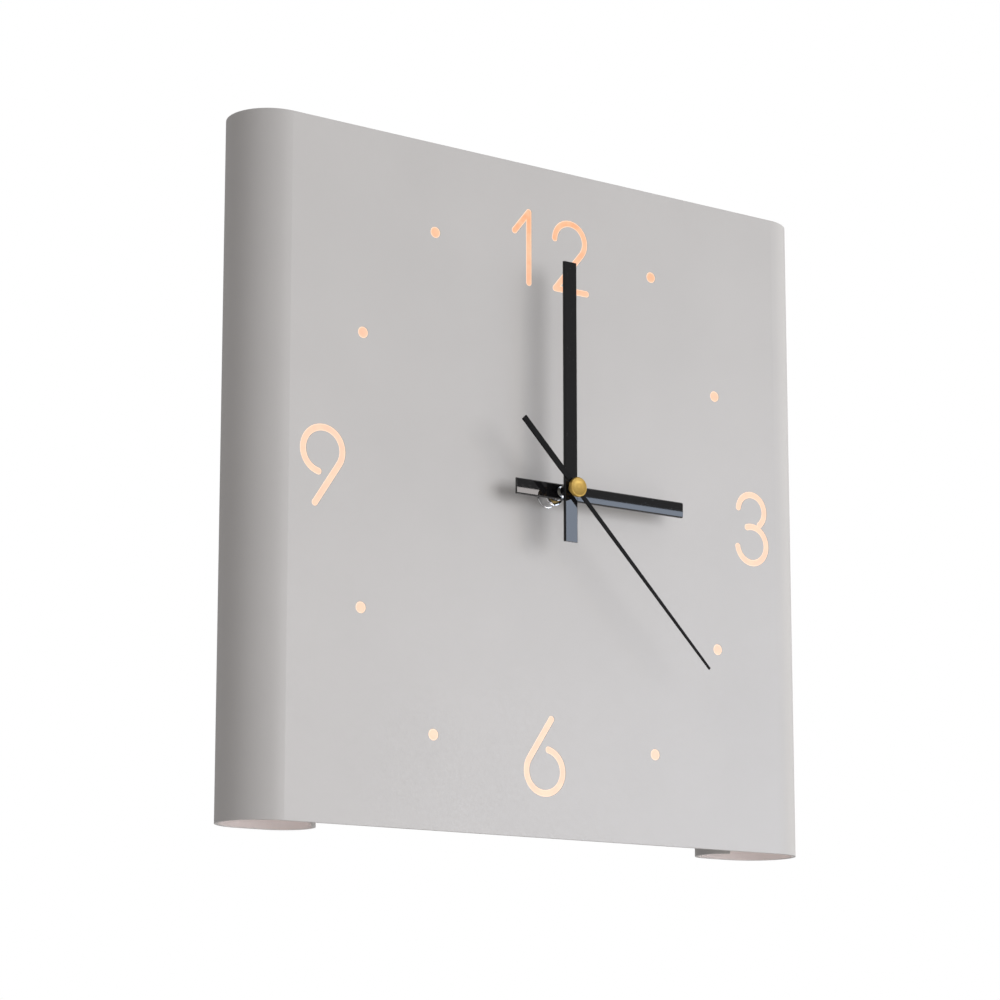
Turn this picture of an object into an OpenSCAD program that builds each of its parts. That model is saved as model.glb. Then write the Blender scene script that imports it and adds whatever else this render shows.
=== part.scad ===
// Square wall clock: one sheet bent back into a roll at each side, numerals cut through it and lit from behind.
// X runs to the right, Z up, and the wall is the plane Y = 0. The face looks along -Y.

/* [Case] */
// Width over the two side bends
case_w = 300; // [280:1:360]
// Height of the bent sheet
case_h = 300; // [290:1:360]
// Depth from the wall to the front of the face
case_d = 38; // [37:0.5:44]
// Thickness of the bent sheet
sheet_t = 1.5; // [1:0.1:2]
// Width of each side roll
roll_w = 46; // [44:1:56]
// Outer radius of the inner curl of a roll
curl_r = 14; // [12:0.5:14]
// How far the inner curl turns, in degrees
curl_turn = 150; // [95:1:150]

/* [Dial] */
// Width of the strokes of the numerals
stroke_w = 3; // [2:0.1:4]
// Diameter of the hour dots
dot_d = 5; // [3:0.1:7]
// Offset of the dots nearest to 12 and 6, across and up
dot_inner = [59, 109.7]; // [55:0.1:112]
// Offset of the dots nearest to 3 and 9, across and up
dot_outer = [95.5, 59.1]; // [55:0.1:112]
// Gap round each lit inlay in its cut-out
inlay_gap = 0.06; // [0.03:0.01:0.15]

/* [Hands] */
// Minute hand from its axis to the tip
minute_reach = 102; // [80:1:110]
// Minute hand from its axis to the tail
minute_tail = 23.3; // [15:0.1:35]
// Hour hand from its axis to the tip
hour_reach = 67; // [50:1:80]
// Hour hand from its axis to the tail
hour_tail = 24; // [15:1:30]
// Width of the minute and hour hands
hand_w = 7; // [5:0.1:9]
// Thickness of the minute and hour hands
hand_t = 1.2; // [0.8:0.1:1.6]
// Second hand from its axis to the tip
second_reach = 103; // [80:1:110]
// Second hand from its axis to the tail
second_tail = 39; // [25:1:45]
// Front of the hour hand above the face
hour_lift = 11.5; // [11:0.1:12.5]
// Front of the minute hand above the face
minute_lift = 18.5; // [18:0.1:19]
// Front of the brass cap above the face
cap_lift = 24; // [23.5:0.1:26]
// Clockwise angle of the second hand at rest
second_angle = 135; // [0:1:359]
// Clockwise angle of the hour hand at rest
hour_angle = 90; // [0:1:359]

/* [Light] */
// Half width of the light box
light_half_w = 129; // [127:0.5:130]
// Half height of the light box
light_half_h = 138; // [136:0.5:140]
// Half size of the window in the light box
window_half = 80; // [78:0.5:84]
// Thickness of the opal panel
diffuser_t = 2; // [1.5:0.1:3]
// Depth of the light tray behind the opal panel
tray_d = 7; // [6:0.1:8]
// Distance between neighbouring lamps on a strip
lamp_pitch = 20; // [15:1:30]

/* [Movement] */
// Width and height of the clockwork case
works_w = 56; // [54:0.5:60]
// Depth of the clockwork case
works_d = 17; // [16.5:0.1:18]
// Wall of the clockwork case
works_wall = 1.5; // [1.2:0.1:1.6]
// Play all round between parts that turn in each other
play = 0.05; // [0.03:0.01:0.08]

/* [Back] */
// Half width of the back cover
cover_half_w = 108; // [96:0.5:109]
// Half height of the back cover
cover_half_h = 138; // [134:0.5:140]
// Thickness of the back cover
cover_t = 2; // [1.5:0.1:2.5]
// Distance between the two hanging holes
hang_spacing = 110; // [80:1:140]
// Height of the hanging holes above the hands' axis
hang_z = 96; // [90:1:105]
// Offset of the pillars from the hands' axis, across and up
pillar_at = 70; // [68:1:72]

/* [Hidden] */
$fn = 64;

knuckle_extra = 0.04;

face_y = -case_d;
sheet_back_y = face_y + sheet_t;
bend_r = case_d / 2;
bend_x = case_w / 2 - bend_r;
curl_x = case_w / 2 - roll_w + curl_r;

// Layers of the light box, front to back
opal_back_y = sheet_back_y + diffuser_t;
tray_back_y = opal_back_y + tray_d;
tray_t = 1;
strip_w = 8;
strip_t = 1;
lamp = 3;
lamp_t = 1.2;
strip_z = 113;
strip_x = 108;
level_strip_half = 122;
upright_strip_half = 90;
ear_inset = 8;
ear_half = 9;
lead_slot_half_w = 4;
lead_slot_z = -94;
lead_slot_half_h = 3;

// Pillars, their screws and their push nuts
pillar_r = 4;
tap_r = 1.65;
tap_depth = 14;
push_nut_r = 7;
push_nut_t = 0.6;
screw_r = 1.6;
screw_l = 10;
screw_hole_r = 2.25;
head_r = 4.2;
head_gap = 0.05;
head_land = 0.1;
cross_half_w = 0.4;

// Keyholes and vents of the back cover
key_head_r = 4.5;
key_slot_w = 4.4;
key_rise = 10;
vent_rows = 5;
vent_pitch = 6;
vent_z = 60;
vent_w = 40;
vent_h = 2.5;

// Layers of the clockwork, front to back
works_front_y = sheet_back_y + 1;
works_back_y = works_front_y + works_d;
inner_y = works_front_y + works_wall;
wheel_t = 0.8;
layer = 1.4;
hour_layer = inner_y + 0.3;
cannon_layer = hour_layer + layer;
centre_layer = cannon_layer + layer;
third_layer = centre_layer + layer;
second_layer = third_layer + layer;
fifth_layer = second_layer + layer;
magnet_y = fifth_layer + 1.6;
lid_y = works_back_y - works_wall;
works_half = works_w / 2;
bay_z = -12;
bay_wall = 1;
battery_r = 7.1;
battery_l = 49;
battery_gap = 0.15;
battery_z = bay_z - battery_r - battery_gap;
battery_y = inner_y + battery_r + 2 * battery_gap;
button_r = 2.7;
button_l = 1.2;

// Works window of the back cover, and the coil beside the rotor
window_margin = 4;
coil_z = 23;
coil_x = [2, 24];
coil_r = 2.5;
flange_r = 2.9;
stator_bore = 3.6;

// Radii of the nested arbors on the hands' axis
second_r = 0.7;
centre_bore = second_r + play;
centre_r = 1.5;
hour_bore = centre_r + play;
hour_r = 2.5;
bushing_bore = hour_r + play;
bushing_r = 4;
arbor_r = 0.45;

// Teeth of the train. Each pair of numbers gives the wheel's and the pinion's teeth.
rotor_teeth = 12;
fifth_teeth = [60, 10];
second_teeth = [60, 8];
third_teeth = [64, 8];
centre_teeth = [60, 12];
setting_teeth = [36, 10];
hour_teeth = 40;
centre_module = 0.32;
third_module = centre_module * (centre_teeth[0] + third_teeth[1]) / (third_teeth[0] + second_teeth[1]);
hour_module = 0.44;
setting_module = hour_module * (hour_teeth + setting_teeth[1]) / (setting_teeth[0] + centre_teeth[1]);
second_module = 0.31;
rotor_module = 0.27;

// Where the arbors stand round the hands' axis: distance and angle
third_turn = 35;
setting_turn = 165;
fifth_turn = 100;
rotor_turn = 150;
third_at = polar(centre_module * (centre_teeth[0] + third_teeth[1]) / 2, third_turn);
setting_at = polar(hour_module * (hour_teeth + setting_teeth[1]) / 2, setting_turn);
fifth_at = polar(second_module * (second_teeth[0] + fifth_teeth[1]) / 2, fifth_turn);
rotor_at = fifth_at + polar(rotor_module * (fifth_teeth[0] + rotor_teeth) / 2, rotor_turn);

// Hand stack, measured outwards from the face
hour_y = face_y - hour_lift;
minute_y = face_y - minute_lift;
cap_y = face_y - cap_lift;
cap_t = 1.8;
second_t = 0.6;
neck_r = 2.4;
rivet_r = 1.3;
nut_y = face_y - 6;
washer_t = 0.5;

// Control board at the lower edge of the back cover
board_w = 60;
board_h = 22;
board_t = 1.6;
board_y = -8;
board_z = -cover_half_h + 2;
socket_x = -16;
switch_x = 14;
switch_travel = 3;
board_boss_x = 26;
board_boss_z = board_z + board_h - 4;
cell_size = [50, 6, 34];
cell_z = -106;

function polar(r, a) = [r * cos(a), r * sin(a)];

// Outline of a toothed wheel with one tooth centred on the X axis
function gear_points(teeth, mod) = [
    for (i = [0:teeth - 1], j = [0:3])
        let (half = [-0.2, -0.09, 0.09, 0.2][j], r = mod * (teeth / 2 + [-1.15, 0.75, 0.75, -1.15][j]))
            polar(r, (i + half) * 360 / teeth)
];

// Extrudes a drawing made in the face's plane between two depths
module slab(front, back) {
    translate([0, back, 0])
        rotate([90, 0, 0])
            linear_extrude(back - front)
                children();
}

// Round rod along the hands' axis direction
module rod(r, front, back, at = [0, 0]) {
    translate([at[0], back, at[1]])
        rotate([90, 0, 0])
            cylinder(r = r, h = back - front);
}

// Round tube along the hands' axis direction
module tube(r, bore, front, back, at = [0, 0]) {
    difference() {
        rod(r, front, back, at);
        rod(bore, front - 1, back + 1, at);
    }
}

// Block given by its lowest and highest corners
module block(low, high) {
    translate(low)
        cube(high - low);
}

module gear(teeth, mod, front, turn, at = [0, 0], thick = wheel_t) {
    translate([at[0], 0, at[1]])
        slab(front, front + thick)
            rotate(turn)
                polygon(gear_points(teeth, mod));
}

// Spoked wheel: a gear with three round windows
module wheel(teeth, mod, front, turn, at = [0, 0]) {
    pitch_r = teeth * mod / 2;
    difference() {
        gear(teeth, mod, front, turn, at);
        for (spoke = [0:2])
            rod(pitch_r * 0.27, front - 1, front + 2, at + polar(pitch_r * 0.55, spoke * 120 + 30));
    }
}

// Turns that put a gap of a follower of n teeth opposite a tooth of its driver
function gap_turn(n, line) = line + 180 + 180 / n;

/* Numerals, drawn in the face's plane */

// Round end or joint of a stroke, a hair wider than the stroke so that their edges cross cleanly
module knuckle(at, w) {
    translate(at)
        circle(d = w + knuckle_extra, $fn = 48);
}

// Straight stroke with round ends
module stroke(from, to, w) {
    run = to - from;
    translate(from)
        rotate(atan2(run[1], run[0]))
            translate([0, -w / 2])
                square([norm(run), w]);
    knuckle(from, w);
    knuckle(to, w);
}

// Corner points of a sector wide enough to cut a ring
function sector(r, from, turn) = concat([[0, 0]], [for (i = [0:8]) polar(r, from + turn * i / 8)]);

// Curved stroke with round ends
module bow(centre, r, from, turn, w) {
    translate(centre) {
        intersection() {
            difference() {
                circle(r = r + w / 2, $fn = 96);
                circle(r = r - w / 2, $fn = 96);
            }
            polygon(sector(2 * r, from, turn));
        }
        knuckle(polar(r, from), w);
        knuckle(polar(r, from + turn), w);
    }
}

// Angle at which a straight tail from a point meets a bowl smoothly
function tangent_angle(centre, r, tail) =
    atan2(tail[1] - centre[1], tail[0] - centre[0]) + acos(r / norm(tail - centre));

module one(w) {
    top = [-9.3, 128];
    stroke(top, [-9.3, 95.6], w);
    stroke(top, [-17, 118.4], w);
}

module two(w) {
    centre = [13.2, 118.4];
    corner = [5.2, 95.6];
    r = 8.3;
    meet = tangent_angle(centre, r, corner);
    bow(centre, r, meet, 178 - meet, w);
    stroke(centre + polar(r, meet), corner, w);
    stroke(corner, [22.3, 95.6], w);
}

module three(w) {
    bow([116.5, 7.6], 7.7, -52, 224, w);
    bow([116.6, -8.2], 8.5, -170, 278, w);
}

// Open bowl with a slanting tail, which makes a nine, or a six when it is turned over
module bowl_and_tail(w) {
    r = 9.6;
    tail = [-3.6, -22.8];
    meet = tangent_angle([0, 0], r, tail);
    bow([0, 0], r, meet, 258 - meet, w);
    stroke(polar(r, meet), tail, w);
}

module nine(w) {
    translate([-114.7, 5.6])
        bowl_and_tail(w);
}

module six(w) {
    translate([-1.4, -121.2])
        rotate(180)
            bowl_and_tail(w);
}

module numerals(w) {
    one(w);
    two(w);
    three(w);
    six(w);
    nine(w);
}

module dots(d) {
    for (at = [dot_inner, dot_outer], side = [-1, 1], level = [-1, 1])
        translate([side * at[0], level * at[1]])
            circle(d = d, $fn = 48);
}

/* Case */

// Right-hand roll of the sheet: side bend, strip along the wall and inner curl
module roll() {
    translate([bend_x, -bend_r, -case_h / 2])
        rotate_extrude(angle = 180, start = -90, $fn = 128)
            translate([bend_r - sheet_t, 0])
                square([sheet_t, case_h]);
    block([curl_x, -sheet_t, -case_h / 2], [bend_x, 0, case_h / 2]);
    translate([curl_x, -curl_r, -case_h / 2])
        rotate_extrude(angle = curl_turn, start = 90, $fn = 128)
            translate([curl_r - sheet_t, 0])
                square([sheet_t, case_h]);
}

module front_shell() {
    color([0.79, 0.78, 0.78])
        difference() {
            union() {
                block([-bend_x, face_y, -case_h / 2], [bend_x, sheet_back_y, case_h / 2]);
                roll();
                mirror([1, 0, 0])
                    roll();
            }
            slab(face_y - 1, sheet_back_y + 1)
                numerals(stroke_w);
            slab(face_y - 1, sheet_back_y + 1)
                dots(dot_d);
            rod(bushing_r + 0.2, face_y - 1, sheet_back_y + 1);
        }
}

module numeral_inlays() {
    color([1, 0.82, 0.68])
        slab(face_y + 0.1, sheet_back_y)
            numerals(stroke_w - 2 * inlay_gap);
}

module dot_inlays() {
    color([1, 0.85, 0.7])
        slab(face_y + 0.1, sheet_back_y)
            dots(dot_d - 2 * inlay_gap);
}

// Frame-shaped panel between two half sizes, in the face's plane
module frame_outline(half_w, half_h, hole_w, hole_h) {
    difference() {
        square([2 * half_w, 2 * half_h], center = true);
        square([2 * hole_w, 2 * hole_h], center = true);
    }
}

module diffuser_panel() {
    color([0.97, 0.93, 0.88])
        slab(sheet_back_y, opal_back_y)
            frame_outline(light_half_w, light_half_h, window_half, window_half);
}

/* Light box */

module at_pillars() {
    for (side = [-1, 1], level = [-1, 1])
        translate([side * pillar_at, 0, level * pillar_at])
            children();
}

module light_tray() {
    color([0.94, 0.94, 0.93])
        difference() {
            union() {
                slab(opal_back_y, tray_back_y)
                    frame_outline(light_half_w, light_half_h, window_half, window_half);
                for (side = [-1, 1], level = [-1, 1])
                    translate([side * (window_half - ear_inset), 0, level * (window_half - ear_inset)])
                        block([-ear_half, tray_back_y - tray_t, -ear_half], [ear_half, tray_back_y, ear_half]);
            }
            slab(opal_back_y - 1, tray_back_y - tray_t)
                frame_outline(light_half_w - tray_t, light_half_h - tray_t, window_half + tray_t,
                    window_half + tray_t);
            at_pillars()
                rod(pillar_r + 0.2, tray_back_y - 3, tray_back_y + 1);
            // Slot for the lamps' leads
            translate([0, tray_back_y, lead_slot_z])
                block([-lead_slot_half_w, -3, -lead_slot_half_h], [lead_slot_half_w, 1, lead_slot_half_h]);
        }
}

function strip_run(half) = floor(2 * half / lamp_pitch) * lamp_pitch;

// Puts one upright strip, or one level strip, in each arm of the tray
module at_strips(upright) {
    for (side = [-1, 1])
        if (upright)
            translate([side * strip_x, 0, 0])
                rotate([0, 90, 0])
                    children();
        else
            translate([0, 0, side * strip_z])
                children();
}

module strip(half) {
    back = tray_back_y - tray_t;
    block([-half, back - strip_t, -strip_w / 2], [half, back, strip_w / 2]);
}

module lamps(half) {
    back = tray_back_y - tray_t - strip_t;
    for (x = [-strip_run(half) / 2 + lamp_pitch / 2:lamp_pitch:strip_run(half) / 2])
        block([x - lamp / 2, back - lamp_t, -lamp / 2], [x + lamp / 2, back, lamp / 2]);
}

module led_strips() {
    color([0.95, 0.95, 0.92]) {
        at_strips(false)
            strip(level_strip_half);
        at_strips(true)
            strip(upright_strip_half);
    }
}

module led_lamps() {
    color([1, 0.85, 0.45]) {
        at_strips(false)
            lamps(level_strip_half);
        at_strips(true)
            lamps(upright_strip_half);
    }
}

module pillars() {
    color([0.75, 0.75, 0.77])
        at_pillars()
            difference() {
                rod(pillar_r, sheet_back_y, -cover_t);
                rod(tap_r, -cover_t - tap_depth, -cover_t + 1);
            }
}

module push_nuts() {
    color([0.55, 0.56, 0.58])
        at_pillars()
            difference() {
                tube(push_nut_r, pillar_r, tray_back_y, tray_back_y + push_nut_t);
                for (slot = [0:5])
                    rotate([0, slot * 60, 0])
                        block([3.5, tray_back_y - 1, -0.4], [5.4, tray_back_y + 2, 0.4]);
            }
}

/* Back cover and controls */

module keyhole() {
    circle(r = key_head_r, $fn = 48);
    translate([-key_slot_w / 2, 0])
        square([key_slot_w, key_rise]);
    translate([0, key_rise])
        circle(d = key_slot_w, $fn = 32);
}

module rounded_plate(half_w, half_h, r) {
    square([2 * half_w, 2 * (half_h - r)], center = true);
    square([2 * (half_w - r), 2 * half_h], center = true);
    for (side = [-1, 1], level = [-1, 1])
        translate([side * (half_w - r), level * (half_h - r)])
            circle(r = r, $fn = 48);
}

// Countersunk head with its flat side on the cover's outer face
module countersink(r) {
    translate([0, -cover_t, 0])
        rotate([-90, 0, 0])
            cylinder(r1 = r - cover_t, r2 = r, h = cover_t - head_land);
}

module back_cover() {
    color([0.25, 0.25, 0.26])
        difference() {
            union() {
                slab(-cover_t, 0)
                    rounded_plate(cover_half_w, cover_half_h, 6);
                for (side = [-1, 1])
                    rod(3, board_y + board_t, -cover_t, [side * board_boss_x, board_boss_z]);
            }
            slab(-cover_t - 1, 1)
                rounded_plate(works_half + window_margin, works_half + window_margin, 5);
            for (side = [-1, 1])
                slab(-cover_t - 1, 1)
                    translate([side * hang_spacing / 2, hang_z])
                        keyhole();
            at_pillars() {
                countersink(head_r + head_gap);
                rod(head_r + head_gap, -head_land, 1);
                rod(screw_hole_r, -cover_t - 1, 1);
            }
            for (side = [-1, 1])
                rod(1, board_y, -cover_t + 0.8, [side * board_boss_x, board_boss_z]);
            for (row = [0:vent_rows - 1])
                slab(-cover_t - 1, 1)
                    translate([-vent_w / 2, vent_z + row * vent_pitch])
                        square([vent_w, vent_h]);
        }
}

module cover_screws() {
    color([0.2, 0.2, 0.21])
        at_pillars()
            difference() {
                union() {
                    countersink(head_r);
                    rod(screw_r, -cover_t - screw_l, -cover_t + head_land);
                }
                for (bar = [0, 90])
                    rotate([0, bar, 0])
                        block([-2, -1.1, -cross_half_w], [2, 1, cross_half_w]);
            }
}

module control_board() {
    color([0.1, 0.35, 0.2])
        difference() {
            block([-board_w / 2, board_y, board_z], [board_w / 2, board_y + board_t, board_z + board_h]);
            for (side = [-1, 1])
                rod(1.2, board_y - 1, board_y + board_t + 1, [side * board_boss_x, board_boss_z]);
        }
}

module board_screws() {
    color([0.7, 0.7, 0.72])
        for (side = [-1, 1])
            difference() {
                union() {
                    rod(2.2, board_y - 1.3, board_y, [side * board_boss_x, board_boss_z]);
                    rod(1, board_y, board_y + 5, [side * board_boss_x, board_boss_z]);
                }
                translate([side * board_boss_x, 0, board_boss_z])
                    for (bar = [0, 90])
                        rotate([0, bar, 0])
                            block([-1.3, board_y - 2, -0.25], [1.3, board_y - 0.7, 0.25]);
            }
}

// Oval-mouthed charging socket on the front of the board, its mouth facing down
module charge_socket() {
    half = 3.2 / 2;
    mid_y = board_y - half;
    low = board_z - 1;
    color([0.75, 0.76, 0.78])
        translate([socket_x, mid_y, low])
            difference() {
                socket_body(4.5, half, 7.4);
                translate([0, 0, -1])
                    socket_body(4.2, half - 0.3, 7.4);
            }
    color([0.1, 0.1, 0.1])
        block([socket_x - 3.3, mid_y - 0.35, low + 0.8], [socket_x + 3.3, mid_y + 0.35, low + 6.6]);
}

// Upright bar with round sides, of the given half width and half depth
module socket_body(half_w, half_t, length) {
    block([half_t - half_w, -half_t, 0], [half_w - half_t, half_t, length]);
    for (side = [-1, 1])
        translate([side * (half_w - half_t), 0, 0])
            cylinder(r = half_t, h = length, $fn = 32);
}

module switch_body() {
    low = board_z - 0.5;
    color([0.72, 0.73, 0.75])
        difference() {
            block([switch_x - 6.5, board_y - 4.4, low], [switch_x + 6.5, board_y, low + 6]);
            block([switch_x - 3.6, board_y - 3.4, low - 1], [switch_x + 3.6, board_y - 1, low + 4]);
        }
}

module switch_slider() {
    low = board_z - 0.5;
    left = switch_x - switch_travel / 2;
    color([0.08, 0.08, 0.08]) {
        block([left - 1.8, board_y - 3.35, low + 0.4], [left + 1.8, board_y - 1.05, low + 3.9]);
        block([left - 1.1, board_y - 3, low - 2.5], [left + 1.1, board_y - 1.4, low + 0.4]);
    }
}

module light_cell() {
    low = [-cell_size[0] / 2, -cover_t - cell_size[1], cell_z];
    color([0.72, 0.74, 0.76]) {
        block(low + [0, 0, 2], low + cell_size);
        block(low + [6, 2, 0], low + [cell_size[0] - 6, 4, 2]);
    }
}

// Round lead through a list of points, with joints a hair wider than the runs
module lead(points, r) {
    for (i = [0:len(points) - 2])
        lead_run(points[i], points[i + 1], r);
    for (i = [1:len(points) - 2])
        translate(points[i])
            sphere(r = r + knuckle_extra, $fn = 24);
}

module lead_run(from, to, r) {
    run = to - from;
    translate(from)
        rotate([0, acos(run[2] / norm(run)), atan2(run[1], run[0])])
            cylinder(r = r, h = norm(run), $fn = 24);
}

module cell_wires() {
    color([0.7, 0.1, 0.1])
        for (side = [-1, 1])
            lead([[side, -5, cell_z], [side, -5, cell_z - 4], [side, -10, cell_z - 6],
                [side, -10, board_z + board_h - 4], [side, board_y, board_z + board_h - 4]], 0.6);
}

module lamp_wires() {
    top_z = board_z + board_h - 4;
    color([0.85, 0.85, 0.83])
        for (side = [-1, 1])
            lead([[8 + side, board_y, top_z], [8 + side, board_y - 4, top_z],
                [2 * side, -20, lead_slot_z], [2 * side, tray_back_y - 2 * tray_t, lead_slot_z],
                [2 * side, tray_back_y - 2 * tray_t, -strip_z + strip_w / 2]], 0.6);
}

/* Clockwork case and what it holds still */

module works_case() {
    in = works_half - works_wall;
    color([0.13, 0.13, 0.14])
        difference() {
            slab(works_front_y, lid_y)
                rounded_plate(works_half, works_half, 3);
            block([-in, inner_y, bay_z + bay_wall], [in, lid_y + 1, in]);
            block([-in, inner_y, -in], [in, lid_y + 1, bay_z]);
            rod(bushing_r, works_front_y - 1, inner_y + 1);
        }
}

module works_lid() {
    color([0.13, 0.13, 0.14])
        difference() {
            slab(lid_y, works_back_y)
                difference() {
                    rounded_plate(works_half, works_half, 3);
                    translate([-works_half - 1, -works_half - 1])
                        square([works_w + 2, bay_z + works_half + 1]);
                }
            rod(1.2, lid_y - 1, works_back_y + 1, setting_at);
            rod(second_r + play, lid_y - 1, works_back_y - 0.6);
            for (at = [third_at, fifth_at, rotor_at])
                rod(arbor_r + play, lid_y - 1, works_back_y - 0.6, at);
        }
}

// Threaded neck that holds the clockwork to the face
module works_bushing() {
    pitch = 0.75;
    turns = 11;
    start = 1.7;
    color([0.85, 0.68, 0.3])
        translate([0, inner_y, 0])
            rotate([90, 0, 0])
                rotate_extrude($fn = 96)
                    polygon(concat(
                        [[bushing_bore, 0], [bushing_r, 0], [bushing_r, start]],
                        [for (i = [0:turns - 1], j = [0, 1]) [bushing_r - j * 0.35, start + (i + j / 2) * pitch]],
                        [[bushing_r - 0.35, start + turns * pitch], [bushing_bore, start + turns * pitch]]
                    ));
}

module rubber_washer() {
    color([0.08, 0.08, 0.08])
        tube(10, bushing_r + 0.1, sheet_back_y, works_front_y);
}

module dial_washer() {
    color([0.85, 0.68, 0.3])
        tube(5.2, bushing_r + 0.1, face_y - washer_t, face_y);
}

module dial_nut() {
    color([0.82, 0.83, 0.85])
        difference() {
            union() {
                tube(5, bushing_r, nut_y + 0.4, face_y - washer_t);
                tube(4.7, bushing_r, nut_y, nut_y + 0.4);
            }
            for (slot = [0:1])
                rotate([0, slot * 90, 0])
                    block([-6, nut_y - 1, -0.5], [6, nut_y + 0.8, 0.5]);
        }
}

module battery() {
    color([0.2, 0.35, 0.5])
        translate([-battery_l / 2, battery_y, battery_z])
            rotate([0, 90, 0]) {
                cylinder(r = battery_r, h = battery_l);
                translate([0, 0, battery_l])
                    cylinder(r = button_r, h = button_l);
            }
}

module battery_contacts() {
    in = works_half - works_wall;
    color([0.8, 0.78, 0.7]) {
        block([in - 0.4, battery_y - 4, battery_z - 4], [in, battery_y + 4, battery_z + 4]);
        block([-in, battery_y - 4, battery_z - 4], [-in + 0.4, battery_y + 4, battery_z + 4]);
        for (ring = [0:2])
            translate([-in + 0.4 + ring * 0.5, battery_y, battery_z])
                rotate([0, 90, 0])
                    cylinder(r = 3 - ring * 0.6, h = 0.5);
    }
}

module works_board() {
    color([0.1, 0.3, 0.18])
        block([13, lid_y - 3, -10.5], [26, lid_y - 2, -3]);
}

module crystal() {
    color([0.8, 0.8, 0.82])
        translate([16, lid_y - 4.1, -7])
            rotate([0, 90, 0])
                cylinder(r = 1, h = 6, $fn = 32);
}

module coil() {
    color([0.72, 0.4, 0.2])
        translate([coil_x[0], magnet_y + 1.5, coil_z])
            rotate([0, 90, 0]) {
                for (end = [0, coil_x[1] - coil_x[0] - 1])
                    translate([0, 0, end])
                        cylinder(r = flange_r, h = 1);
                cylinder(r = coil_r, h = coil_x[1] - coil_x[0]);
            }
}

// Soft iron plates that lead the coil's field round the rotor
module stator() {
    color([0.6, 0.6, 0.62])
        difference() {
            slab(magnet_y + 1, magnet_y + 2) {
                translate(rotor_at)
                    circle(r = 5.2);
                translate([rotor_at[0], coil_z - 5])
                    square([coil_x[0] - rotor_at[0], 5]);
                translate([rotor_at[0] - 5, rotor_at[1]])
                    square([5, 10]);
            }
            rod(stator_bore, magnet_y, magnet_y + 3, rotor_at);
        }
}

/* Wheels */

module rotor() {
    color([0.25, 0.25, 0.27])
        rod(3, magnet_y, magnet_y + 3, rotor_at);
    color([0.9, 0.9, 0.88]) {
        gear(rotor_teeth, rotor_module, fifth_layer - 0.2, gap_turn(rotor_teeth, rotor_turn), rotor_at, 1.2);
        rod(arbor_r, inner_y, works_back_y - 0.7, rotor_at);
        rod(1, fifth_layer + 0.9, magnet_y, rotor_at);
    }
}

module fifth_wheel() {
    color([0.9, 0.88, 0.8]) {
        wheel(fifth_teeth[0], rotor_module, fifth_layer, rotor_turn, fifth_at);
        gear(fifth_teeth[1], second_module, second_layer, gap_turn(fifth_teeth[1], fifth_turn), fifth_at, layer);
        rod(arbor_r, inner_y, works_back_y - 0.7, fifth_at);
    }
}

module second_wheel() {
    color([0.85, 0.68, 0.3]) {
        wheel(second_teeth[0], second_module, second_layer, fifth_turn);
        gear(second_teeth[1], third_module, third_layer, third_turn, thick = layer);
        rod(second_r, cap_y + 1, works_back_y - 0.7);
    }
}

module third_wheel() {
    color([0.9, 0.88, 0.8]) {
        wheel(third_teeth[0], third_module, third_layer, gap_turn(third_teeth[0], third_turn), third_at);
        gear(third_teeth[1], centre_module, centre_layer, third_turn + 180, third_at, layer);
        rod(arbor_r, inner_y, works_back_y - 0.7, third_at);
    }
}

module centre_wheel() {
    color([0.85, 0.68, 0.3])
        difference() {
            union() {
                wheel(centre_teeth[0], centre_module, centre_layer, gap_turn(centre_teeth[0], third_turn + 180));
                gear(centre_teeth[1], setting_module, cannon_layer, setting_turn, thick = layer);
                rod(centre_r, minute_y + 0.4, centre_layer);
            }
            rod(centre_bore, minute_y - 1, centre_layer + 3);
        }
}

module setting_wheel() {
    color([0.9, 0.9, 0.88]) {
        wheel(setting_teeth[0], setting_module, cannon_layer, gap_turn(setting_teeth[0], setting_turn), setting_at);
        gear(setting_teeth[1], hour_module, hour_layer, setting_turn + 180, setting_at, layer);
        rod(1.1, cannon_layer, works_back_y + 1, setting_at);
    }
}

module setting_knob() {
    color([0.85, 0.85, 0.83])
        difference() {
            rod(4.2, works_back_y + 1, works_back_y + 5, setting_at);
            for (notch = [0:23])
                translate([setting_at[0], 0, setting_at[1]])
                    rotate([0, notch * 15, 0])
                        translate([4.4, 0, 0])
                            rod(0.35, works_back_y, works_back_y + 6);
            translate([setting_at[0], 0, setting_at[1]])
                block([-2.6, works_back_y + 4.2, -0.5], [2.6, works_back_y + 6, 0.5]);
        }
}

module hour_wheel() {
    color([0.85, 0.68, 0.3])
        difference() {
            union() {
                gear(hour_teeth, hour_module, hour_layer, gap_turn(hour_teeth, setting_turn + 180));
                rod(hour_r, hour_y + 0.4, hour_layer);
            }
            rod(hour_bore, hour_y - 1, hour_layer + 3);
        }
}

/* Hands */

module hour_collet() {
    color([0.06, 0.06, 0.07])
        difference() {
            union() {
                rod(3.3, hour_y + hand_t, nut_y - 0.9);
                rod(2.9, nut_y - 0.9, nut_y - 0.6);
            }
            rod(hour_r, hour_y, nut_y);
        }
}

// Flat hand that points up, with its long edges eased at the front
module bar_hand(reach, tail, front, bore) {
    ease = 0.35;
    difference() {
        slab(front, front + hand_t)
            translate([-hand_w / 2, -tail])
                square([hand_w, reach + tail]);
        for (side = [-1, 1])
            translate([side * hand_w / 2, front, 0])
                rotate([0, 0, 45])
                    block([-ease, -ease, -tail - 1], [ease, ease, reach + 1]);
        rod(bore, front - 1, front + hand_t + 1);
    }
}

module hour_hand() {
    color([0.06, 0.06, 0.07])
        rotate([0, hour_angle, 0])
            bar_hand(hour_reach, hour_tail, hour_y, hour_r);
}

module minute_collet() {
    color([0.06, 0.06, 0.07])
        tube(2.6, centre_r, minute_y + hand_t, minute_y + hand_t + 3.6);
}

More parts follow.
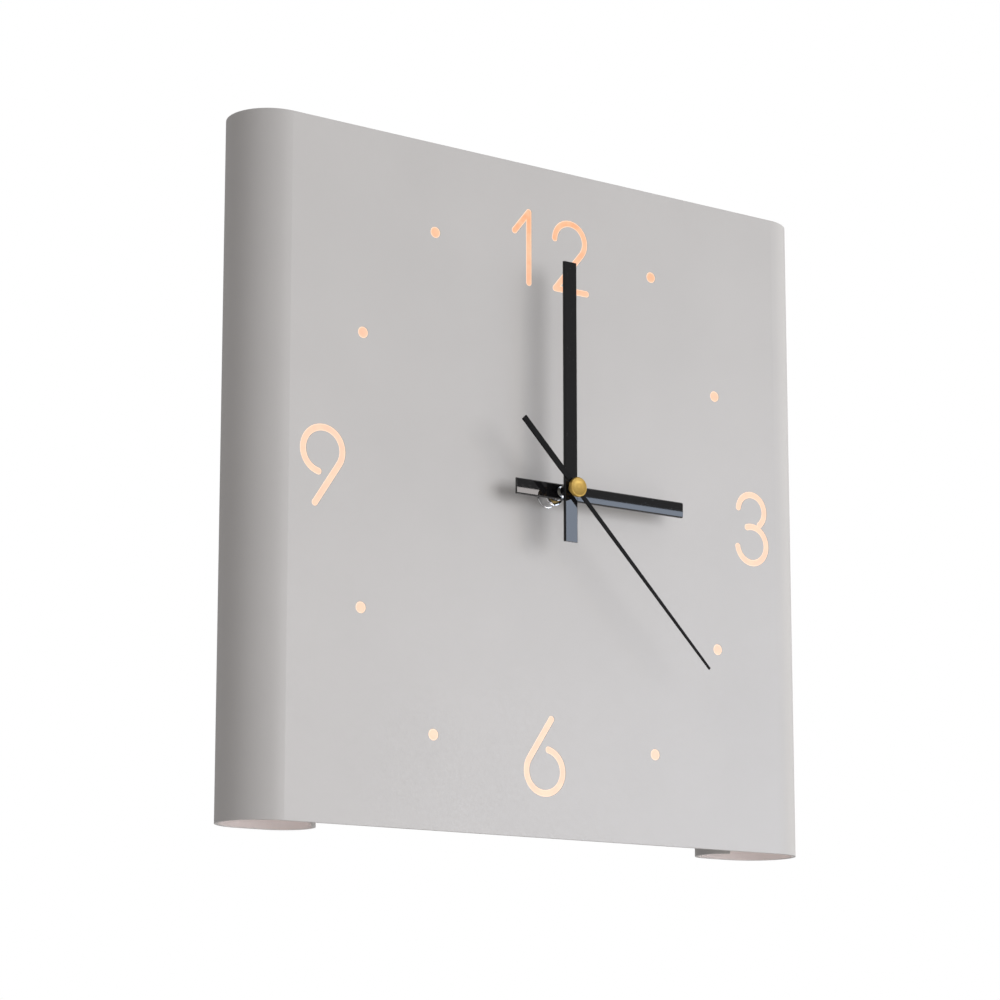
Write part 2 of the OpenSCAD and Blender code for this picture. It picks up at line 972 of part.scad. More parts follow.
module minute_hand() {
    color([0.06, 0.06, 0.07])
        bar_hand(minute_reach, minute_tail, minute_y, centre_r);
}

module second_hand() {
    front = cap_y + cap_t;
    root = 1;
    tip = 0.5;
    tail = 1.4;
    color([0.04, 0.04, 0.04])
        rotate([0, second_angle, 0])
            difference() {
                slab(front, front + second_t) {
                    polygon([[-root, 0], [root, 0], [tip, second_reach], [-tip, second_reach]]);
                    polygon([[-root, 0], [-tail, -12], [-tail, -second_tail], [tail, -second_tail],
                        [tail, -12], [root, 0]]);
                    circle(r = neck_r);
                }
                rod(rivet_r, front - 1, front + 2);
            }
}

module brass_cap() {
    neck_front = cap_y + cap_t + second_t;
    cap_r = 4.3;
    ease = 0.3;
    color([0.83, 0.65, 0.25])
        difference() {
            union() {
                rod(cap_r, cap_y + ease, cap_y + cap_t);
                translate([0, cap_y + ease, 0])
                    rotate([90, 0, 0])
                        cylinder(r1 = cap_r, r2 = cap_r - ease, h = ease);
                rod(rivet_r, cap_y + 1, neck_front + 1);
                rod(neck_r, neck_front, minute_y - 0.9);
            }
            rod(second_r, cap_y + 1, minute_y);
        }
}

front_shell();
numeral_inlays();
dot_inlays();
diffuser_panel();
light_tray();
led_strips();
led_lamps();
pillars();
push_nuts();
back_cover();
cover_screws();
control_board();
charge_socket();
switch_body();
switch_slider();
light_cell();
cell_wires();
lamp_wires();
board_screws();
works_case();
works_lid();
works_bushing();
rubber_washer();
dial_washer();
dial_nut();
battery();
battery_contacts();
works_board();
crystal();
coil();
stator();
rotor();
fifth_wheel();
second_wheel();
third_wheel();
centre_wheel();
setting_wheel();
setting_knob();
hour_wheel();
hour_collet();
hour_hand();
minute_collet();
minute_hand();
second_hand();
brass_cap();
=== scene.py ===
# %% [markdown]
# # A square wall clock, bent from one sheet
# The clock is one painted sheet whose upright sides are bent back into rolls. Its numerals and dots are cut
# through the sheet and glow, and three hands turn in front of it on a bought quartz movement. Every part is
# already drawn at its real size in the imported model, so this lesson gives the parts their finishes and
# remakes the few whose small shapes matter most.

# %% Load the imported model
import math

import bmesh
import bpy
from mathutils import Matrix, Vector


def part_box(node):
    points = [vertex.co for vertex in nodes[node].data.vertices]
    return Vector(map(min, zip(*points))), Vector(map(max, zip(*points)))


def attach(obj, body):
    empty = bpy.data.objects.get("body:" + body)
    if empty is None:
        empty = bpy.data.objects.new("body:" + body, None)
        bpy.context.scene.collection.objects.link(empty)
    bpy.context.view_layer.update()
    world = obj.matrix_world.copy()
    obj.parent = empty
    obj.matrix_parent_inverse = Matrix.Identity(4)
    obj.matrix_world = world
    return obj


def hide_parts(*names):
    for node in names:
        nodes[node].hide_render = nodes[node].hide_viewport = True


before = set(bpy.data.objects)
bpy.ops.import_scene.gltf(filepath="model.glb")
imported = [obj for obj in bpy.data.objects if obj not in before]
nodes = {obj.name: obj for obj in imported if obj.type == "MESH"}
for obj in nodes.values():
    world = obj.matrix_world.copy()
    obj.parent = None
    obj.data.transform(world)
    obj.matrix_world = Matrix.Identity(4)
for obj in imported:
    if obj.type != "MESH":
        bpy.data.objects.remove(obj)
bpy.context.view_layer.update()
mm = 0.001
scene = bpy.context.scene

# %% [markdown]
# ## The camera
# The clock hangs on a wall and is seen from its lower left. The camera stands below it and looks up a
# little. Its small upward shift does what the rising front of a view camera does: it lets the camera tilt
# less, so that the upright edges stay nearly parallel. A larger shift would push the clock out of other
# views, so it stays small.

# %% Camera
eye = Vector((-714, -1027.6, -267.9)) * mm
turned_right = math.radians(34.85)
tilted_up = math.radians(9.9)

camera_data = bpy.data.cameras.new("camera")
camera_data.sensor_width = 36
camera_data.lens = 102.48
camera_data.shift_y = 0.12
camera = bpy.data.objects.new("camera", camera_data)
camera.location = eye
camera.rotation_euler = (math.pi / 2 + tilted_up, 0, -turned_right)
scene.collection.objects.link(camera)
scene.camera = camera
print("camera is", round(eye.length, 3), "m from the hands' axis")

# %% [markdown]
# ## The floor and the light
# A product studio is mostly white walls, so the world is a soft white that grows from the left to the
# right. Five things stand out of it. A soft key panel stands in front and casts the soft shadows of the
# hands. A tall panel at the far right brightens the right-hand bend. A cool window and a warm blind beside
# it are only seen in mirrors, and their upper edge is what the glossy hands reflect. Two small warm glows
# inside each roll stand for light that leaks out of the light box. Mirrors see a darker room than the
# camera does, which keeps black lacquer black.

# %% Floor
floor_z = -1.2
floor_half = 3.0

bm = bmesh.new()
bmesh.ops.create_grid(bm, x_segments=4, y_segments=4, size=floor_half)
bmesh.ops.translate(bm, verts=bm.verts, vec=(0, 0, floor_z))
floor_mesh = bpy.data.meshes.new("floor")
bm.to_mesh(floor_mesh)
bm.free()
floor = bpy.data.objects.new("floor", floor_mesh)
scene.collection.objects.link(floor)


# %% World
def add(tree, kind, **settings):
    """A new node with some of its settings or unlinked inputs filled in."""
    node = tree.nodes.new("ShaderNode" + kind)
    for name, value in settings.items():
        if hasattr(node, name):
            setattr(node, name, value)
        else:
            node.inputs[name.replace("_", " ")].default_value = value
    return node


world = bpy.data.worlds.new("studio")
scene.world = world
world.use_nodes = True
room = world.node_tree
room.nodes.clear()
direction = add(room, "TexCoord")
axes = add(room, "SeparateXYZ")
side_light = add(room, "MapRange", From_Min=-1.0, From_Max=1.0, To_Min=0.31, To_Max=0.95)
side_tint = add(room, "MapRange", From_Min=-1.0, From_Max=1.0)
tinted = add(room, "Mix", data_type="RGBA")
tinted.inputs[6].default_value = (1.0, 0.955, 0.94, 1)
tinted.inputs[7].default_value = (1.0, 0.985, 0.965, 1)
soft = add(room, "Background")
mirrored = add(room, "Background", Color=(1.0, 0.99, 0.98, 1), Strength=0.3)
white = add(room, "Background", Color=(1, 1, 1, 1), Strength=1.0)
ray = add(room, "LightPath")
for_mirrors = add(room, "MixShader")
for_camera = add(room, "MixShader")
sky = add(room, "OutputWorld")
room.links.new(direction.outputs["Generated"], axes.inputs[0])
room.links.new(axes.outputs["X"], side_light.inputs["Value"])
room.links.new(axes.outputs["X"], side_tint.inputs["Value"])
room.links.new(side_light.outputs["Result"], soft.inputs["Strength"])
room.links.new(side_tint.outputs["Result"], tinted.inputs[0])
room.links.new(tinted.outputs[2], soft.inputs["Color"])
room.links.new(ray.outputs["Is Glossy Ray"], for_mirrors.inputs[0])
room.links.new(soft.outputs[0], for_mirrors.inputs[1])
room.links.new(mirrored.outputs[0], for_mirrors.inputs[2])
room.links.new(ray.outputs["Is Camera Ray"], for_camera.inputs[0])
room.links.new(for_mirrors.outputs[0], for_camera.inputs[1])
room.links.new(white.outputs[0], for_camera.inputs[2])
room.links.new(for_camera.outputs[0], sky.inputs[0])
scene.view_settings.view_transform = "Standard"


# %% Studio panels
def panel(name, size, place, turn, colour, brightness):
    """A glowing rectangle. Its brightness is what a mirror sees in it, where white paper is about 1."""
    data = bpy.data.lights.new(name, "AREA")
    data.shape = "RECTANGLE"
    data.size, data.size_y = size
    data.color = colour
    data.energy = brightness * math.pi * size[0] * size[1]
    lamp = bpy.data.objects.new(name, data)
    lamp.location = place
    lamp.rotation_euler = turn
    lamp.visible_camera = False
    scene.collection.objects.link(lamp)
    return lamp


upright = math.pi / 2
mirror_y = -2.0
window_top = 0.532
window_size = (1.0, 1.2)
blind_size = (0.4, 1.2)
window_middle = window_top - window_size[1] / 2
key_size = (1.1, 1.1)
key_turn = math.radians(15)
side_size = (1.2, 1.6)
window = panel("cool_window", window_size, (1.91, mirror_y, window_middle), (upright, 0, 0),
               (0.70, 0.81, 1.0), 5.2)
blind = panel("warm_blind", blind_size, (1.205, mirror_y, window_middle), (upright, 0, 0),
              (1.0, 0.94, 0.92), 8.0)
key = panel("soft_key", key_size, (0.55, -2.1, 0.1), (upright, 0, key_turn), (1.0, 0.99, 1.0), 4.4)
side = panel("side_panel", side_size, (2.2, -0.35, 0.1), (upright, 0, upright), (1.0, 0.99, 0.98), 3.6)
for mirrored_only in (window, blind):
    mirrored_only.visible_diffuse = False
for unmirrored in (key, side):
    unmirrored.visible_glossy = False
print("window and blind end at a height of", window_top, "m")

# %% Glow in the rolls
glow_colour = (1.0, 0.80, 0.77)
glow_power = 0.02
glow_radius = 6 * mm
glow_height = 122 * mm
shell_low, shell_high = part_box("front_shell")
roll_axis_x = shell_high.x - 21 * mm
roll_axis_y = (shell_low.y + shell_high.y) / 2
for side_name, side_sign in (("left", -1), ("right", 1)):
    for end_name, end_sign in (("bottom", -1), ("top", 1)):
        data = bpy.data.lights.new(f"glow_{side_name}_{end_name}", "POINT")
        data.energy = glow_power
        data.color = glow_colour
        data.shadow_soft_size = glow_radius
        glow = bpy.data.objects.new(data.name, data)
        glow.location = (side_sign * roll_axis_x, roll_axis_y, end_sign * glow_height)
        glow.visible_camera = False
        glow.visible_glossy = False
        scene.collection.objects.link(glow)

# %% [markdown]
# ## How a finish is made
# Real paint, metal and plastic are never one even colour. Each finish below starts from the piece's own
# Object coordinates, in metres, so a pattern keeps its real size. Clouds of noise vary the colour and the
# roughness, and a finer cloud gives the bump. The Bevel node rounds the look of sharp edges, and where it
# turns the surface most, an edge is found, and the colour there is painted lighter: a painted highlight.


# %% Building blocks of a finish
def start_finish(name, **settings):
    """A new material with uniform settings. Returns it, its tree, its shader and its coordinates."""
    material = bpy.data.materials.new(name)
    material.use_nodes = True
    tree = material.node_tree
    shader = tree.nodes["Principled BSDF"]
    for key, value in settings.items():
        shader.inputs[key.replace("_", " ")].default_value = value
    place = add(tree, "TexCoord").outputs["Object"]
    return material, tree, shader, place


def cloud(tree, place, size, detail=2.0, stretch=(1, 1, 1)):
    """Random blotches about `size` metres wide, longer where stretch is small."""
    mapping = add(tree, "Mapping", Scale=stretch)
    noise = add(tree, "TexNoise", Scale=1 / size, Detail=detail)
    tree.links.new(place, mapping.inputs["Vector"])
    tree.links.new(mapping.outputs["Vector"], noise.inputs["Vector"])
    return noise.outputs["Fac"]


def spread(tree, value, low, high, start=0.3, end=0.7):
    """Stretches a pattern to run between two numbers."""
    node = add(tree, "MapRange", From_Min=start, From_Max=end, To_Min=low, To_Max=high)
    tree.links.new(value, node.inputs["Value"])
    return node.outputs["Result"]


def blend_colours(tree, amount, first, second):
    """Mixes two colours, each a tuple or the output of another node, by a pattern."""
    node = add(tree, "Mix", data_type="RGBA")
    tree.links.new(amount, node.inputs[0])
    for socket, colour in ((node.inputs[6], first), (node.inputs[7], second)):
        if isinstance(colour, tuple):
            socket.default_value = (*colour, 1)
        else:
            tree.links.new(colour, socket)
    return node.outputs[2]


def eased_edge(tree, radius):
    """Normals as if edges were rounded, and a mask that is 1 on the edges, where the finishes paint a
    highlight.
    """
    eased = add(tree, "Bevel", samples=6, Radius=radius)
    flat = add(tree, "NewGeometry")
    match = add(tree, "VectorMath", operation="DOT_PRODUCT")
    tree.links.new(eased.outputs["Normal"], match.inputs[0])
    tree.links.new(flat.outputs["Normal"], match.inputs[1])
    return eased.outputs["Normal"], spread(tree, match.outputs["Value"], 1.0, 0.0, 0.8, 0.99)


def raise_surface(tree, shader, height, depth, normal=None):
    """Bump of a real depth in metres."""
    bump = add(tree, "Bump", Strength=1.0, Distance=depth)
    tree.links.new(height, bump.inputs["Height"])
    if normal is not None:
        tree.links.new(normal, bump.inputs["Normal"])
    tree.links.new(bump.outputs["Normal"], shader.inputs["Normal"])


def shade(colour, amount):
    return tuple(min(1.0, c * amount) for c in colour)


def dress(material, *names):
    """Gives CAD nodes a finish, in every slot that they have."""
    for name in names:
        slots = nodes[name].data.materials
        if not len(slots):
            slots.append(material)
        for index in range(len(slots)):
            slots[index] = material
    print(material.name, "on", ", ".join(names))


# %% [markdown]
# ## The painted sheet
# The case is sheet metal with a satin powder coat. Powder melts into a skin with a faint orange peel, about
# a millimetre from crest to crest. So the coat has a fine bump and a broad and very weak change of tone,
# and its edges are painted slightly lighter, a painted highlight.


# %% Painted metal
def painted(name, colour, rough, peel=0.0009, peel_depth=0.00001, edge_highlight=1.1, spotting=0.02, edge_radius=0.0003):
    """Powder coat: orange peel in the bump, weak changes of tone, and a painted highlight on the edges."""
    material, tree, shader, place = start_finish(name)
    broad = cloud(tree, place, 0.06, 3.0)
    skin = cloud(tree, place, peel, 1.0)
    darker, lighter = shade(colour, 1 - spotting), shade(colour, 1 + spotting)
    tone = blend_colours(tree, spread(tree, broad, 0.0, 1.0), darker, lighter)
    normal, rim = eased_edge(tree, edge_radius)
    # Edges are painted lighter: a painted highlight.
    tree.links.new(blend_colours(tree, rim, tone, shade(colour, edge_highlight)), shader.inputs["Base Color"])
    tree.links.new(spread(tree, skin, rough - 0.05, rough + 0.05), shader.inputs["Roughness"])
    raise_surface(tree, shader, skin, peel_depth, normal)
    return material


dress(painted("satin_sheet", (0.512, 0.506, 0.502), 0.42), "front_shell")
dress(painted("tray_white", (0.86, 0.86, 0.85), 0.5), "light_tray")
# The black back cover gets a strong painted highlight on its edges.
dress(painted("back_paint", (0.045, 0.045, 0.048), 0.55, peel_depth=0.00003, edge_highlight=2.2, spotting=0.15),
      "back_cover")
floor.data.materials.append(painted("pale_floor", (0.8, 0.79, 0.785), 0.6, edge_highlight=1.0))

# %% [markdown]
# ## Metals
# The turned parts carry fine rings round their axis, and the rolled and stamped ones carry faint lines
# along their length. Both are noise that is squeezed in one direction. The rings come from a wave pattern
# that is centred on the hands' axis, which is where the origin is.


# %% Drawn and plated metal
def drawn_metal(name, colour, rough, grain=(1, 1, 1), grain_size=0.0004, dull=0.75, grain_depth=0.000004):
    """Rolled, stamped or plated metal with a grain, dull clouds and a painted highlight on its edges."""
    material, tree, shader, place = start_finish(name, Metallic=1.0)
    haze = cloud(tree, place, 0.006, 3.0)
    lines = cloud(tree, place, grain_size, 2.0, grain)
    normal, rim = eased_edge(tree, 0.00015)
    tone = blend_colours(tree, spread(tree, haze, 0.0, 1.0), shade(colour, dull), colour)
    # Edges are painted lighter: a painted highlight.
    tree.links.new(blend_colours(tree, rim, tone, shade(colour, 1.15)), shader.inputs["Base Color"])
    tree.links.new(spread(tree, haze, rough + 0.08, rough), shader.inputs["Roughness"])
    raise_surface(tree, shader, lines, grain_depth, normal)
    return material


# %% Turned metal
def turned_metal(name, colour, rough, ring_width=0.00035, ring_depth=0.000003, dull=0.8, plated=None):
    """Metal cut on a lathe, with fine rings round the hands' axis, perhaps plated in front of the face, and a
    painted highlight on its edges.
    """
    material, tree, shader, place = start_finish(name, Metallic=1.0)
    rings = add(tree, "TexWave", wave_type="RINGS", rings_direction="Y", Scale=1 / (20 * ring_width),
                Distortion=0.4)
    tree.links.new(place, rings.inputs["Vector"])
    haze = cloud(tree, place, 0.003, 3.0)
    normal, rim = eased_edge(tree, 0.0002)
    tone = blend_colours(tree, spread(tree, haze, 0.0, 1.0), shade(colour, dull), colour)
    if plated:
        depth = add(tree, "SeparateXYZ")
        tree.links.new(place, depth.inputs[0])
        outside = spread(tree, depth.outputs["Y"], 1.0, 0.0, face_y - 0.0005, face_y)
        tone = blend_colours(tree, outside, tone, plated)
    # Edges are painted lighter: a painted highlight.
    tree.links.new(blend_colours(tree, rim, tone, shade(colour, 1.2)), shader.inputs["Base Color"])
    tree.links.new(spread(tree, rings.outputs["Fac"], rough, rough + 0.1, 0.0, 1.0), shader.inputs["Roughness"])
    raise_surface(tree, shader, rings.outputs["Fac"], ring_depth, normal)
    return material


face_y = shell_low.y
brass_colour = (0.78, 0.55, 0.2)
along_x = (0.05, 1, 1)
along_z = (1, 1, 0.05)

dress(drawn_metal("zinc_plate", (0.66, 0.68, 0.7), 0.32, along_z), "pillars", "board_screws")
dress(drawn_metal("blued_spring", (0.36, 0.38, 0.44), 0.3), "push_nuts")
dress(drawn_metal("black_oxide", (0.1, 0.1, 0.105), 0.42), "cover_screws")
dress(drawn_metal("nickel_shell", (0.76, 0.76, 0.78), 0.2, along_x), "charge_socket")
dress(drawn_metal("steel_frame", (0.62, 0.63, 0.65), 0.3, along_x), "switch_body")
dress(drawn_metal("spring_strip", (0.75, 0.74, 0.7), 0.25, along_z), "battery_contacts")
dress(drawn_metal("drawn_can", (0.78, 0.78, 0.8), 0.2, along_x), "crystal")
dress(drawn_metal("soft_iron", (0.5, 0.5, 0.52), 0.4, along_x), "stator")
dress(turned_metal("chrome", (0.86, 0.87, 0.89), 0.06), "dial_nut", "dial_washer")
dress(turned_metal("turned_brass", brass_colour, 0.24), "works_bushing")
dress(turned_metal("wheel_brass", shade(brass_colour, 1.05), 0.28, plated=(0.7, 0.7, 0.68)),
      "second_wheel", "centre_wheel", "hour_wheel")

# %% [markdown]
# ## Plastics, rubber and lacquer
# Moulded plastic takes the fine spark-eroded grain of its mould. Rubber is duller and dusty. The hands are
# thin brass under black lacquer, which lies almost flat, so it mirrors the studio sharply and needs very
# little bump.


# %% Moulded plastic
def moulded(name, colour, rough, grain=0.0003, grain_depth=0.000006, edge_highlight=1.15, spotting=0.06, **settings):
    """Moulded plastic or rubber with a fine even grain and a painted highlight on its edges."""
    material, tree, shader, place = start_finish(name, **settings)
    broad = cloud(tree, place, 0.012, 2.0)
    fine = cloud(tree, place, grain, 1.0)
    normal, rim = eased_edge(tree, 0.0002)
    darker, lighter = shade(colour, 1 - spotting), shade(colour, 1 + spotting)
    tone = blend_colours(tree, spread(tree, broad, 0.0, 1.0), darker, lighter)
    # Edges are painted lighter: a painted highlight.
    tree.links.new(blend_colours(tree, rim, tone, shade(colour, edge_highlight)), shader.inputs["Base Color"])
    tree.links.new(spread(tree, broad, rough - 0.06, rough + 0.06), shader.inputs["Roughness"])
    raise_surface(tree, shader, fine, grain_depth, normal)
    return material


# %% Lacquer
def lacquered(name, colour, rough):
    """Black lacquer that has flowed almost flat, with a little dust in it and a painted highlight on its edges.
    """
    material, tree, shader, place = start_finish(name)
    dust = cloud(tree, place, 0.0007, 3.0)
    specks = spread(tree, dust, 0.0, 1.0, 0.70, 0.73)
    normal, rim = eased_edge(tree, 0.0001)
    tone = blend_colours(tree, specks, colour, shade(colour, 4.0))
    # Edges are painted lighter: a painted highlight.
    tree.links.new(blend_colours(tree, rim, tone, shade(colour, 2.0)), shader.inputs["Base Color"])
    tree.links.new(spread(tree, specks, rough, 0.2), shader.inputs["Roughness"])
    raise_surface(tree, shader, cloud(tree, place, 0.05, 0.0), 0.000001, normal)
    return material


dress(moulded("works_plastic", (0.022, 0.022, 0.024), 0.42, edge_highlight=1.8), "works_case", "works_lid")
dress(moulded("white_wheel", (0.8, 0.78, 0.7), 0.38, Subsurface_Weight=0.05),
      "fifth_wheel", "third_wheel", "setting_wheel")
dress(moulded("knob_white", (0.76, 0.76, 0.74), 0.42), "setting_knob")
dress(moulded("black_lever", (0.02, 0.02, 0.022), 0.45, edge_highlight=1.6), "switch_slider")
dress(moulded("soft_rubber", (0.02, 0.02, 0.02), 0.75, grain=0.0006, grain_depth=0.00002), "rubber_washer")
dress(moulded("strip_board", (0.85, 0.85, 0.8), 0.5), "led_strips")
dress(moulded("magnet", (0.06, 0.06, 0.065), 0.55, grain_depth=0.00002), "rotor")
dress(moulded("wire_red", (0.5, 0.02, 0.018), 0.45, grain=0.002), "cell_wires")
dress(moulded("wire_white", (0.72, 0.71, 0.68), 0.45, grain=0.002), "lamp_wires")
dress(lacquered("hand_lacquer", (0.008, 0.008, 0.009), 0.01),
      "hour_hand", "minute_hand", "hour_collet", "minute_collet")
dress(moulded("second_lacquer", (0.004, 0.004, 0.004), 0.5, Specular_IOR_Level=0.12), "second_hand")

# %% Lamps, and a diffuser with a painted glow
dress(moulded("lamp_cap", (0.85, 0.7, 0.25), 0.3, Emission_Color=(1, 0.72, 0.4, 1), Emission_Strength=2.0),
      "led_lamps")
# The opal sheet is no lamp: its emission is a painted glow for the light of the lamps behind it.
dress(moulded("opal_sheet", (0.85, 0.82, 0.78), 0.4, Emission_Color=(1, 0.7, 0.5, 1), Emission_Strength=0.35),
      "diffuser_panel")


# %% Lit inlays
def lit(name):
    """Painted glow of opal acrylic lit from behind: orange at the top of the dial and creamier below, with
    paler painted rims.
    """
    material, tree, shader, place = start_finish(name, Roughness=0.35, Emission_Strength=0.9)
    height = add(tree, "SeparateXYZ")
    tree.links.new(place, height.inputs[0])
    # Painted glow: orange towards the top of the dial, creamier below.
    up = spread(tree, height.outputs["Z"], 0.0, 1.0, 0.03, 0.125)
    core = blend_colours(tree, up, (0.90, 0.52, 0.38), (0.94, 0.34, 0.15))
    mottled = spread(tree, cloud(tree, place, 0.004, 2.0), 0.0, 0.35)
    warm = blend_colours(tree, mottled, core, (1.0, 0.66, 0.46))
    # Paler painted glow on the rim of every inlay.
    rim = add(tree, "Attribute", attribute_name="rim")
    glow = blend_colours(tree, rim.outputs["Fac"], warm, (1.0, 0.78, 0.58))
    unlit = blend_colours(tree, mottled, (0.25, 0.15, 0.1), (0.3, 0.2, 0.14))
    tree.links.new(glow, shader.inputs["Emission Color"])
    tree.links.new(unlit, shader.inputs["Base Color"])
    return material


# %% [markdown]
# ## The inlays
# Each numeral is a strip of opal acrylic that fills its cut-out. Its glow is a painted glow in the emission
# that stands for the lamps behind it, and a paler painted glow on a rim, so every numeral has a pale rim,
# stands for light that leaks brightest where the acrylic meets the bright cut edge of the sheet. Each inlay
# starts as a copy of its CAD mesh. The front faces are inset by the width of the rim, and an attribute marks
# the outer edge for the material.


# %% Inlays with rims
def rimmed_inlays(source, rim_width):
    """Copies the inlays of a CAD node, and insets their front faces to make rims."""
    bm = bmesh.new()
    bm.from_mesh(nodes[source].data)
    bmesh.ops.remove_doubles(bm, verts=bm.verts, dist=0.000001)
    bmesh.ops.dissolve_limit(bm, angle_limit=math.radians(1), verts=bm.verts, edges=bm.edges)
    front = [f for f in bm.faces if f.normal.y < -0.99]
    rim = bm.verts.layers.float.new("rim")
    for face in front:
        for vert in face.verts:
            vert[rim] = 1.0
    inset = bmesh.ops.inset_individual(bm, faces=front, thickness=rim_width, use_even_offset=True)
    for face in front:
        for vert in face.verts:
            vert[rim] = 0.0
    bmesh.ops.recalc_face_normals(bm, faces=bm.faces)
    mesh = bpy.data.meshes.new(source + "_lit")
    bm.to_mesh(mesh)
    bm.free()
    piece = bpy.data.objects.new(source + "_lit", mesh)
    scene.collection.objects.link(piece)
    mesh.materials.append(inlay_finish)
    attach(piece, "case")
    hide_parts(source)
    print(piece.name, "has", len(front), "front faces and", len(inset["faces"]), "rim faces")
    return piece


inlay_finish = lit("lit_acrylic")
rimmed_inlays("numeral_inlays", 0.5 * mm)
rimmed_inlays("dot_inlays", 0.6 * mm)

# %% [markdown]
# ## Copper winding, circuit boards and the cell
# These sit behind the back cover and inside the movement. Enamelled wire shows as fine ribs across the
# coil, with painted shade in the grooves between the turns. A board is green solder mask over copper
# tracks. The light cell is a pouch of laminated foil, faintly creased.


# %% Winding, boards and foil
def wound(name, colour, wire):
    """Copper wire wound round the X direction, with painted shade in the grooves between the turns."""
    material, tree, shader, place = start_finish(name, Metallic=1.0)
    turns = add(tree, "TexWave", wave_type="BANDS", bands_direction="X", Scale=1 / (20 * wire), Distortion=0.3)
    tree.links.new(place, turns.inputs["Vector"])
    # The low half of each turn is painted darker: painted shade in the grooves.
    tone = blend_colours(tree, turns.outputs["Fac"], shade(colour, 0.5), colour)
    tree.links.new(tone, shader.inputs["Base Color"])
    tree.links.new(spread(tree, cloud(tree, place, 0.002), 0.2, 0.4), shader.inputs["Roughness"])
    raise_surface(tree, shader, turns.outputs["Fac"], wire / 3)
    return material


def circuit_board(name):
    """Solder mask with straight copper tracks that show through it."""
    material, tree, shader, place = start_finish(name, Coat_Weight=0.4, Coat_Roughness=0.15)
    tracks = add(tree, "TexBrick", Scale=220.0, Mortar_Size=0.03, Color1=(0, 0, 0, 1), Color2=(0, 0, 0, 1))
    tracks.inputs["Mortar"].default_value = (1, 1, 1, 1)
    upright = add(tree, "Mapping", Rotation=(math.pi / 2, 0, 0))
    tree.links.new(place, upright.inputs["Vector"])
    tree.links.new(upright.outputs["Vector"], tracks.inputs["Vector"])
    mask = blend_colours(tree, cloud(tree, place, 0.004), (0.008, 0.07, 0.028), (0.014, 0.1, 0.04))
    tone = blend_colours(tree, tracks.outputs["Color"], mask, (0.03, 0.19, 0.08))
    tree.links.new(tone, shader.inputs["Base Color"])
    tree.links.new(spread(tree, cloud(tree, place, 0.003), 0.3, 0.45), shader.inputs["Roughness"])
    raise_surface(tree, shader, tracks.outputs["Color"], 0.00003)
    return material


dress(wound("copper_winding", (0.7, 0.32, 0.14), 0.0002), "coil")
dress(circuit_board("green_board"), "control_board", "works_board")
dress(drawn_metal("cell_foil", (0.7, 0.71, 0.73), 0.28, (1, 1, 0.6), 0.005, 0.85, 0.0001), "light_cell")

# %% [markdown]
# ## Turned pieces
# The brass cap in the middle and the battery are round, so each is one outline spun about its axis: a few
# points, each a distance along the axis and a radius. Spinning keeps the small lips and recesses that a
# plain cylinder lacks. The cap presses onto the arbor of the second hand, and the battery lies across the
# movement.


# %% Spin an outline
def spin_piece(name, outline, axis, centre, steps, body, source):
    """Spins (distance along the axis, radius) points, in mm, about an axis through a centre."""
    along = Vector(axis)
    out = Vector((0, 0, 1))
    bm = bmesh.new()
    points = [bm.verts.new((Vector(centre) + along * a + out * r) * mm) for a, r in outline]
    edges = [bm.edges.new(pair) for pair in zip(points, points[1:])]
    bmesh.ops.spin(bm, geom=points + edges, cent=Vector(centre) * mm, axis=along, angle=2 * math.pi,
                   steps=steps, use_merge=True)
    bmesh.ops.remove_doubles(bm, verts=bm.verts, dist=0.000001)
    bmesh.ops.recalc_face_normals(bm, faces=bm.faces)
    mesh = bpy.data.meshes.new(name)
    bm.to_mesh(mesh)
    bm.free()
    mesh.polygons.foreach_set("use_smooth", [True] * len(mesh.polygons))
    mesh.set_sharp_from_angle(angle=math.radians(35))
    piece = bpy.data.objects.new(name, mesh)
    scene.collection.objects.link(piece)
    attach(piece, body)
    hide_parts(source)
    print(name, "has", len(mesh.polygons), "faces")
    return piece


# %% Brass cap
cap_low, cap_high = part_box("brass_cap")
cap_front = cap_low.y / mm
cap_back = cap_high.y / mm
cap_r = (cap_high.x - cap_low.x) / 2 / mm
rim_back = cap_front + 1.8
neck_front = rim_back + 0.6
neck_r = 2.4
rivet_r = 1.3
cap_outline = [
    (cap_front + 0.06, 0), (cap_front + 0.06, cap_r - 0.8), (cap_front + 0.02, cap_r - 0.72),
    (cap_front, cap_r - 0.6), (cap_front, cap_r - 0.4), (cap_front + 0.08, cap_r - 0.15),
    (cap_front + 0.3, cap_r), (rim_back - 0.25, cap_r), (rim_back - 0.08, cap_r - 0.06),
    (rim_back, cap_r - 0.25), (rim_back, rivet_r), (neck_front, rivet_r), (neck_front, neck_r - 0.1),
    (neck_front + 0.1, neck_r), (cap_back - 0.15, neck_r), (cap_back, neck_r - 0.15), (cap_back, 0),
]
cap = spin_piece("turned_cap", cap_outline, (0, 1, 0), (0, 0, 0), 72, "second_hand", "brass_cap")
cap.data.materials.append(turned_metal("cap_brass", (0.60, 0.40, 0.11), 0.5, dull=0.9))

# %% [markdown]
# ## The battery
# A dry cell is a steel can in a printed sleeve, which is shrunk over both ends. The sleeve is plain here,
# with two bands of colour and no lettering. One piece carries both finishes, and the faces of the bare ends
# get the steel.


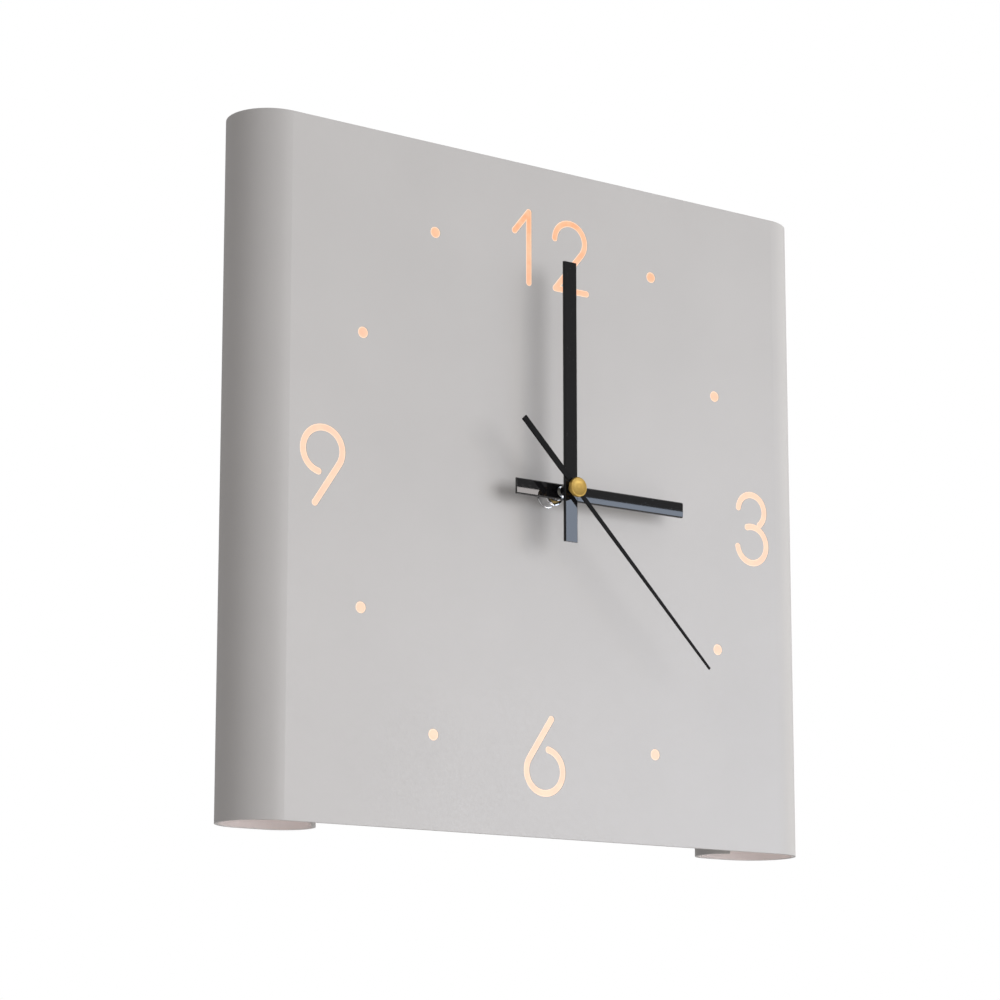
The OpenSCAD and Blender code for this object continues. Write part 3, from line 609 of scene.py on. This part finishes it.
# %% Battery sleeve
def sleeve(name, body_colour, band_colour, band_start):
    """Shrunk plastic sleeve with one band at its positive end."""
    material, tree, shader, place = start_finish(name, Coat_Weight=0.3, Coat_Roughness=0.1)
    along = add(tree, "SeparateXYZ")
    tree.links.new(place, along.inputs[0])
    band = spread(tree, along.outputs["X"], 0.0, 1.0, band_start, band_start + 0.0002)
    scuff = spread(tree, cloud(tree, place, 0.003, 4.0), 0.85, 1.0)
    print_tone = blend_colours(tree, band, body_colour, band_colour)
    tree.links.new(blend_colours(tree, scuff, (0.3, 0.3, 0.3), print_tone), shader.inputs["Base Color"])
    tree.links.new(spread(tree, cloud(tree, place, 0.006), 0.22, 0.4), shader.inputs["Roughness"])
    raise_surface(tree, shader, cloud(tree, place, 0.004, 2.0), 0.00002)
    return material


# %% Battery
cell_low, cell_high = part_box("battery")
cell_left = cell_low.x / mm
button_end = cell_high.x / mm
cell_right = button_end - 1.2
cell_r = (cell_high.z - cell_low.z) / 2 / mm
cell_centre = (0, (cell_low.y + cell_high.y) / 2 / mm, (cell_low.z + cell_high.z) / 2 / mm)
lip = 0.8
battery_outline = [
    (cell_left + 0.25, 0), (cell_left + 0.25, cell_r - 2.2), (cell_left + 0.35, cell_r - 1.9),
    (cell_left + 0.35, cell_r - lip - 0.1), (cell_left, cell_r - lip), (cell_left + 0.1, cell_r - 0.3),
    (cell_left + 0.5, cell_r), (cell_right - 0.6, cell_r), (cell_right - 0.15, cell_r - 0.35),
    (cell_right, cell_r - lip), (cell_right - 0.3, cell_r - lip - 0.2), (cell_right - 0.3, 3.4),
    (cell_right, 3.0), (cell_right, 2.7), (button_end - 0.2, 2.7), (button_end, 2.4), (button_end, 0),
]
battery = spin_piece("dry_cell", battery_outline, (1, 0, 0), cell_centre, 64, "case", "battery")
band_start = cell_right * mm * 0.45
battery.data.materials.append(sleeve("battery_sleeve", (0.03, 0.09, 0.18), (0.62, 0.42, 0.16), band_start))
battery.data.materials.append(drawn_metal("cell_steel", (0.74, 0.74, 0.75), 0.2))
sleeve_r = (cell_r - lip - 0.15) * mm
axis_point = Vector(cell_centre) * mm
for face in battery.data.polygons:
    reach = (face.center - axis_point).yz.length
    face.material_index = 0 if reach > sleeve_r else 1
